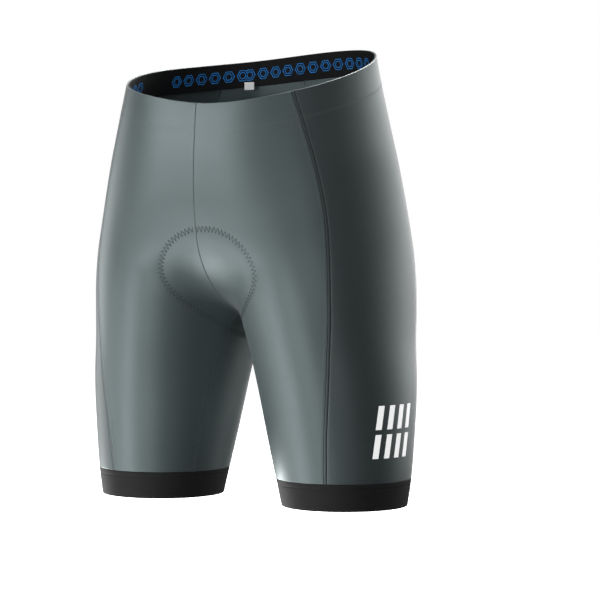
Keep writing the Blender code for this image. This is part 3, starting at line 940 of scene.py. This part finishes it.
def threads(name, batches, radius, paint):
    """Many short threads as one piece: round profiles carried along each path, flattened against
    the cloth, and closed by a small cap at both ends."""
    turn = np.arange(THREAD_SIDES) * 2 * math.pi / THREAD_SIDES
    all_points, all_faces, caps, start = [], [], [], 0
    for paths, normal in batches:
        ahead = unit(np.gradient(paths, axis=1))
        beside = unit(np.cross(ahead, normal))
        up = np.cross(beside, ahead)
        taper = np.ones(paths.shape[1])
        taper[[0, -1]] = THREAD_TAPER
        wide = np.cos(turn)[:, None] * beside[:, :, None]
        high = THREAD_FLATNESS * np.sin(turn)[:, None] * up[:, :, None]
        points = paths[:, :, None] + (wide + high) * radius * taper[None, :, None, None]
        number = start + np.arange(points.size // 3).reshape(points.shape[:3])
        after = np.roll(number, -1, axis=2)
        all_faces.append(quads(number[:, :-1], after[:, :-1], after[:, 1:], number[:, 1:]))
        caps += [number[:, 0, ::-1], number[:, -1]]
        all_points.append(points.reshape(-1, 3))
        start += number.size
    caps = np.concatenate(caps)
    all_faces.append(np.concatenate([caps[:, [0, i, i + 1]] for i in range(1, THREAD_SIDES - 1)]))
    mesh_piece(name, np.concatenate(all_points), all_faces, paint)


# Stitch shapes: along in shares of the pitch, across and height in mm
SIDE_TICK = [(0, -4.1, -0.1), (0.1, -3.3, 0.12), (0.25, -2.0, 0.16), (0.4, -0.9, 0.1), (0.5, -0.3, -0.2)]
NEEDLE_DASH = [(0, 3.0, -0.42), (0.15, 3.0, -0.2), (0.5, 3.0, -0.14), (0.8, 3.0, -0.2), (0.93, 3.0, -0.42)]
FLAT_TICK = [(0, -1.9, -0.1), (0.2, -1.1, 0.14), (0.5, 0, 0.05), (0.8, 1.1, 0.14), (1, 1.9, -0.1)]
PAD_ZIGZAG = [
    (0, -3.2, -0.05), (0.08, -1.6, 0.1), (0.16, 0, 0.12), (0.25, 1.6, 0.1), (0.33, 3.2, -0.05),
    (0.42, 3.2, -0.05), (0.5, 1.6, 0.1), (0.66, 0, 0.12), (0.83, -1.6, 0.1), (0.95, -3.2, -0.05),
]
WAIST_COVER = [(0, 2.4, -0.25), (0.2, 1.3, -0.06), (0.5, 0, -0.04), (0.8, -1.3, -0.06), (1, -2.4, -0.25)]
JOINT_DASH = [(0, 0, -0.6), (0.08, 0, -0.38), (0.5, 0, -0.3), (0.92, 0, -0.38), (0.98, 0, -0.6)]


def make_stitches(sheets, paint, zigzag_shade_paint, seam_shade_paint):
    """The flat seams, the pad's zigzag and the waist's cover stitch."""
    front, back, inner = (sheets[n] for n in ("front_panel", "back_panel", "inner_leg_panel"))

    def runs(curve, pitch, shape, flip=False):
        mirrored_shape = [(a, -b, c) for a, b, c in shape]
        one, other = (mirrored_shape, shape) if flip else (shape, mirrored_shape)
        return [stitch_paths(curve, pitch, one), stitch_paths(curve * (-1, 1, 1), pitch, other)]

    front_side, back_side = front.points[:, -1], back.points[:, 0]
    front_inner, back_inner = inner.points[:, -1], inner.points[:, 0]
    ticks = runs(front_side, TICK_PITCH, SIDE_TICK) + runs(back_side, TICK_PITCH, SIDE_TICK, True)
    threads("side_seam_ticks", ticks, THREAD, paint)
    needles = runs(front_side, DASH_PITCH, NEEDLE_DASH) + runs(back_side, DASH_PITCH, NEEDLE_DASH, True)
    curves = [front_side, back_side, back_inner, front_inner]
    joints = [run for curve in curves for run in runs(curve, DASH_PITCH, JOINT_DASH)]
    for kind, lines, size in (("needle", needles, NEEDLE_THREAD), ("joint", joints, JOINT_THREAD)):
        # The needle lines and the cord in each seam's joint take the darkest thread: partly real thread,
        # partly painted shade of the grooves and of the valley where the panels meet
        threads(f"seam_{kind}_runs", lines[:1] + lines[2:], size, seam_shade_paint)
        threads(f"right_front_{kind}_run", lines[1:2], size, paint)
    flat_seams = runs(back_inner, FLAT_PITCH, FLAT_TICK) + runs(front_inner, FLAT_PITCH, FLAT_TICK)
    threads("inner_seam_stitches", flat_seams, THREAD, paint)
    closed = np.concatenate([PAD_LINE, PAD_LINE[:1]])
    # The pad's stitches take a darker copy of the thread: painted shade of the dimples they pull into the
    # cloth
    threads("pad_zigzag_stitches", [stitch_paths(closed, ZIGZAG_PITCH, PAD_ZIGZAG)], PAD_THREAD, zigzag_shade_paint)
    waist = waist_ring(np.linspace(-180, 180, 721), WAIST_STITCH_LINE)
    threads("waist_cover_stitches", [stitch_paths(waist, COVER_PITCH, WAIST_COVER)], WAIST_THREAD, paint)


# Elastics, label, pad and print

def rounded_ends(distance, thickness):
    """How far both faces have sunk near a strip's long edge, as a round of half its thickness."""
    radius = 0.48 * thickness
    left = np.clip(radius - distance, 0, radius)
    return radius - np.sqrt(radius ** 2 - left ** 2)


def make_leg_bands(paint):
    """The knitted gripper band round each hem: a ring of two layers, folded round at the hem, with
    a shallow line where it's sewn to the panels."""
    depth = PANEL_END - HEM - BAND_GAP
    steps = np.array([0, 0.08, 0.25, 0.5, 0.85, 1.3]) * MM
    line = BAND_LINE + np.array([-0.9, -0.5, -0.2, 0, 0.2, 0.5, 0.9]) * MM
    down = np.sort(np.concatenate([steps, line, np.arange(2.2, 27, 1.6) * MM, depth - steps]))
    levels = PANEL_END - BAND_GAP - down
    degrees = np.arange(BAND_AROUND) * 360 / BAND_AROUND
    core = np.broadcast_to(leg_axis(levels)[:, None], (len(levels), BAND_AROUND, 3))
    skin = cast(core, np.broadcast_to(directions(degrees), core.shape))
    normal = outward(skin)
    drop = rounded_ends(np.minimum(down, depth - down), BAND)
    rib = 0.05 * MM * np.cos(np.radians(degrees) * BAND_RIBS)
    raised = groove(down - BAND_LINE, BAND_GROOVE)[:, None] + rib - drop[:, None]
    outer = skin + normal * raised[..., None]
    inner = skin + normal * (drop - BAND)[:, None, None]
    inner[..., 2] = outer[..., 2]
    run = np.arange(BAND_AROUND) / BAND_AROUND * BAND_GIRTH
    uv = np.stack(np.broadcast_arrays(run[None, :], -down[:, None]), -1)
    for name, faces in (("left", (outer, inner)), ("right", (mirrored(outer), mirrored(inner)))):
        made = shell("gripper_band_" + name, *faces, paint, uv, ring=True)
        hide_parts("leg_band_" + name)


def make_waist_elastic(paint):
    """The elastic inside the top edge: a strip that follows the panels' inner faces once round,
    with rounded edges, whose last end lies over its first at the back right."""
    ends = np.array([0, 0.1, 0.3, 0.6]) * MM
    down = np.linspace(1.2 * MM, ELASTIC_DEPTH - 1.2 * MM, 18)
    down = np.concatenate([ends, down, ELASTIC_DEPTH - ends[::-1]])
    turns = np.linspace(0, 400, 801)
    run = lengths(waist_ring(ELASTIC_JOIN + turns, ELASTIC_DEPTH / 2))
    girth = np.interp(360, turns, run)
    last = girth + ELASTIC_LAP
    along = np.linspace(1.5 * MM, last - 1.5 * MM, ELASTIC_AROUND)
    along = np.concatenate([ends, along, last - ends[::-1]])
    degrees = ELASTIC_JOIN + np.interp(along, run, turns)
    skin = waist_ring(*np.broadcast_arrays(degrees[None, :], down[:, None]))
    normal = outward(skin)
    margin = np.minimum(np.minimum(down, ELASTIC_DEPTH - down)[:, None], np.minimum(along, last - along))
    drop = rounded_ends(margin, ELASTIC)
    rise = eased(np.clip((along - girth + LAP_LEAD) / LAP_SLOPE, 0, 1)) * (ELASTIC + LAP_GAP)
    outer = skin - normal * (CLOTH + SEAM_GAP + rise + drop)[..., None]
    inner = skin - normal * (CLOTH + SEAM_GAP + ELASTIC + rise - drop)[..., None]
    uv = np.stack(np.broadcast_arrays(along[None, :], -down[:, None]), -1)
    made = shell("printed_waist_elastic", outer, inner, paint, uv)
    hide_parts("waist_elastic")


def make_label(paint):
    """A blank satin ribbon, folded in a loop: its flat profile runs down, turns and runs up."""
    x, y = LABEL_PLACE
    middle = math.degrees(math.atan2(x, -y))
    swing = math.degrees(LABEL_WIDTH / math.hypot(x, y) / 2)
    degrees = np.linspace(middle - swing, middle + swing, 15)
    top = waist_height(x, y) - LABEL_DROP
    radius = (LABEL_CLOTH - LABEL_RIBBON) / 2
    turn = np.linspace(0, math.pi, 9)
    fall = np.linspace(0, LABEL_HEIGHT - radius, 9)[:-1]
    drop = np.concatenate([fall, LABEL_HEIGHT - radius + radius * np.sin(turn), fall[::-1]])
    depth = np.concatenate([0 * fall, radius - radius * np.cos(turn), 0 * fall + 2 * radius])
    core = np.zeros((len(drop), len(degrees), 3))
    core[..., 2] = (top - drop)[:, None]
    skin = cast(core, np.broadcast_to(directions(degrees), core.shape))
    normal = outward(skin)
    base = CLOTH + SEAM_GAP + 2 * ELASTIC + 2 * LAP_GAP + LABEL_RIBBON / 2
    centre = skin - normal * (base + depth)[:, None, None]
    across = unit(np.gradient(centre, axis=0))
    side = unit(np.gradient(centre, axis=1))
    half_face = np.cross(side, across) * LABEL_RIBBON / 2
    uv = np.stack(np.meshgrid(degrees, drop), -1) * MM
    made = shell("folded_label", centre + half_face, centre - half_face, paint, uv)
    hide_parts("size_label")


def pad_height(along, across):
    """The pad's thickness: a thin edge, a fuller base, soft-edged foam blocks, and the pressed
    lines and slits between them."""
    half = smooth_table(PAD_OUTLINE, along / MM)[..., 0] * MM
    length = PAD_OUTLINE[-1][0] * MM
    margin = np.minimum(half - np.abs(across), np.minimum(along, length - along) + 4 * MM)
    height = PAD_EDGE + PAD_BASE * eased(np.clip(margin / PAD_EDGE_SLOPE, 0, 1))
    for row in PAD_BLOCKS:
        at, off, half_length, half_width, lift = np.array(row) * MM
        beyond = np.maximum(np.abs(along - at) - half_length + PAD_BLOCK_EDGE, 0)
        beside = np.maximum(np.abs(np.abs(across) - off) - half_width + PAD_BLOCK_EDGE, 0)
        share = np.clip(1 - np.hypot(beyond, beside) / PAD_BLOCK_EDGE, 0, 1)
        height = height + lift * np.sin(share * math.pi / 2)
    for row in PAD_LINES:
        start_along, start_across, end_along, end_across, depth, half_width = np.array(row) * MM
        run_along, run_across = end_along - start_along, end_across - start_across
        from_start, aside_start = along - start_along, np.abs(across) - start_across
        share = (from_start * run_along + aside_start * run_across) / (run_along ** 2 + run_across ** 2)
        share = np.clip(share, 0, 1)
        away = np.hypot(from_start - share * run_along, aside_start - share * run_across)
        height = height + groove(away, (depth, half_width))
    return height + groove(margin - PAD_EDGE_LINE, PAD_EDGE_GROOVE)


def make_pad(paint):
    """The seat pad: its outer face follows the cloth, and its inner face carries the blocks."""
    ends = 1 - np.cos(np.linspace(0, math.pi, PAD_ROWS + 1))
    along = (0.2 * ends + 0.8 * np.linspace(0, 2, PAD_ROWS + 1)) / 2 * PAD_OUTLINE[-1][0] * MM
    half, shift = smooth_table(PAD_OUTLINE, along / MM).T * MM
    share = np.linspace(-1, 1, PAD_COLUMNS)
    share = 0.75 * share + 0.25 * np.sin(share * math.pi / 2)
    across = half[:, None] * share
    skin = aside(pad_spine(along), across + (shift / MM * PAD_SHIFT)[:, None])
    normal = outward(skin)
    outer = skin - normal * (CLOTH + PAD_GAP)
    thick = pad_height(np.broadcast_to(along[:, None], across.shape), across)
    uv = np.stack(np.broadcast_arrays(across, along[:, None]), -1)
    made = shell("sewn_in_pad", outer, outer - normal * thick[..., None], paint, uv)
    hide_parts("seat_pad")


def make_print(paint):
    """Two rows of four slanted bars, printed on the outer side of the left leg: each bar is a
    thin raised film on the form, a slanted four-sided grid in level and direction."""
    rows, columns = PRINT_GRID
    count = rows * columns
    share = np.linspace(0, 1, columns)
    rise = np.linspace(0, 1, rows)[:, None]
    points = []
    for level, turn in PRINT_ROWS:
        for number in range(4):
            middle = number * PRINT_PITCH + PRINT_WIDTH * (share - 0.5) + PRINT_SLANT * rise
            levels = np.broadcast_to(level + PRINT_HEIGHT * (rise - 1), middle.shape)
            skin = cast(leg_axis(levels), directions(turn + np.degrees(middle / PRINT_REACH)))
            film = outward(skin) * PRINT_FILM
            points += [skin + film, skin - film]
    number = np.arange(count).reshape(rows, columns)
    bar = np.concatenate([
        quads(number[:-1, :-1], number[:-1, 1:], number[1:, 1:], number[1:, :-1]),
        quads(number[:-1, :-1], number[1:, :-1], number[1:, 1:], number[:-1, 1:]) + count,
        quads(number[0, 1:], number[0, :-1], number[0, :-1] + count, number[0, 1:] + count),
        quads(number[-1, :-1], number[-1, 1:], number[-1, 1:] + count, number[-1, :-1] + count),
        quads(number[:-1, 0], number[1:, 0], number[1:, 0] + count, number[:-1, 0] + count),
        quads(number[1:, -1], number[:-1, -1], number[:-1, -1] + count, number[1:, -1] + count),
    ])
    faces = [bar + i * count for i in range(0, len(points), 2)]
    made = mesh_piece("leg_print", np.stack(points), faces, paint)
    made.data.shade_flat()


def stage():
    """A pale floor well below the hanging garment, a white backdrop and soft lights."""
    floor, shader = new_material("pale floor")
    set_inputs(floor, shader, {
        "Base Color": linear("#FFFFFF"), "Emission Color": (1, 1, 1, 1), "Emission Strength": 1.0,
        "Roughness": 1.0, "Specular IOR Level": 0.0})
    mesh = bpy.data.meshes.new("floor")
    reach, level = 12, -0.62
    mesh.from_pydata([(-reach, -reach, level), (reach, -reach, level), (reach, reach, level),
                      (-reach, reach, level)], [], [(0, 1, 2, 3)])
    mesh.materials.append(floor)
    made = bpy.data.objects.new("floor", mesh)
    made.visible_diffuse = made.visible_glossy = made.visible_shadow = False
    bpy.context.scene.collection.objects.link(made)

    world = bpy.data.worlds.new("studio")
    bpy.context.scene.world = world
    world.use_nodes = True
    world.node_tree.nodes.clear()
    seen = add_node(world, "Background", {"Color": (1, 1, 1, 1), "Strength": 1.0})
    around = add_node(world, "Background", {"Color": (1, 1, 1, 1), "Strength": 0.01})
    ray = add_node(world, "LightPath")
    mixed = add_node(world, "MixShader", {
        0: ray.outputs["Is Camera Ray"], 1: around.outputs[0], 2: seen.outputs[0]})
    add_node(world, "OutputWorld", {"Surface": mixed.outputs[0]})
    bpy.context.scene.view_settings.view_transform = "Standard"

    for azimuth, elevation, size, power in LIGHTS:
        light = bpy.data.lights.new("softbox", "AREA")
        light.size = size
        light.energy = power
        made = bpy.data.objects.new("softbox", light)
        turn, rise = math.radians(azimuth), math.radians(elevation)
        way = Vector((math.sin(turn) * math.cos(rise), -math.cos(turn) * math.cos(rise), math.sin(rise)))
        made.location = Vector((0, 0, TARGET_HEIGHT)) + way * LIGHT_DISTANCE
        made.rotation_euler = way.to_track_quat("Z", "Y").to_euler()
        bpy.context.scene.collection.objects.link(made)


# Softboxes turned to the garment's middle: azimuth, elevation, size in metres, power in watts.
# Strong ones behind it give the bright rims, and small ones in front give the soft highlights.
LIGHT_DISTANCE = 2.2
LIGHTS = [
    (-180, 60, 0.8, 122), (-180, 30, 0.8, 12), (160, 30, 0.8, 5.5), (160, 0, 0.8, 4.8),
    (140, 0, 0.8, 5.1), (140, -30, 0.8, 1.1), (120, 0, 0.8, 2.2), (60, 60, 0.8, 11.2),
    (40, 0, 0.8, 4.4), (20, 0, 0.8, 1.4), (10, -15, 0.5, 2.2), (0, -15, 0.5, 6.0),
    (-30, -15, 0.5, 4.8), (-30, 15, 0.5, 7.8), (-40, 15, 0.5, 6.5), (-40, -30, 0.8, 9.2),
    (-60, -15, 0.5, 2.2), (-60, -45, 0.5, 11), (-70, -15, 0.5, 1.0), (-70, -45, 0.5, 2.8),
    (-80, 0, 0.8, 1.6), (-100, 0, 0.8, 5.2), (-108, -29, 0.8, 45),
]


def make_camera():
    """A long lens that looks at the leg's middle, with the object left of the frame's centre."""
    data = bpy.data.cameras.new("camera")
    data.sensor_width = 36
    data.lens = LENS
    data.shift_x = SHIFT
    made = bpy.data.objects.new("camera", data)
    made.location = (
        math.sin(CAMERA_TURN) * CAMERA_DISTANCE, -math.cos(CAMERA_TURN) * CAMERA_DISTANCE, CAMERA_HEIGHT)
    look = Vector((0, 0, TARGET_HEIGHT)) - made.location
    made.rotation_euler = look.to_track_quat("-Z", "Y").to_euler()
    bpy.context.scene.collection.objects.link(made)
    bpy.context.scene.camera = made


make_camera()
stage()
# The pad's stitch line may run either way round, so a point well inside it tells which side rises
PAD_LINE = pad_edge_curve(PAD_STITCH_INSET)
PAD_LINE_TURN = 1
if pad_rise(pad_spine(np.array([50 * MM])))[0] < PAD_RISE / 2:
    PAD_LINE_TURN = -1
SHEETS = make_sheets()
# The side panels' copy of the knit is made darker by painted shade
make_panels(SHEETS, lycra("stretched nylon warp knit", *CLOTH_FINISH),
            lycra("stretched nylon warp knit, darkened with painted shade", *SIDE_CLOTH_PAINTED_SHADE_FINISH))
make_stitches(SHEETS, sewing_thread("textured nylon thread", "#667274", "#7B8789"),
              # the pad's stitch thread, darkened by painted shade of its dimples
              sewing_thread("zigzag thread with painted shade", "#424C4E", "#4F595B"),
              # the darkest thread: partly thread colour, partly painted shade of the seams' grooves and
              # joints
              sewing_thread("seam thread with painted shade", "#1C2122", "#272D2E"))
make_leg_bands(band_knit())
make_waist_elastic(printed_elastic())
make_label(satin())
make_pad(pad_cloth())
make_print(print_film())
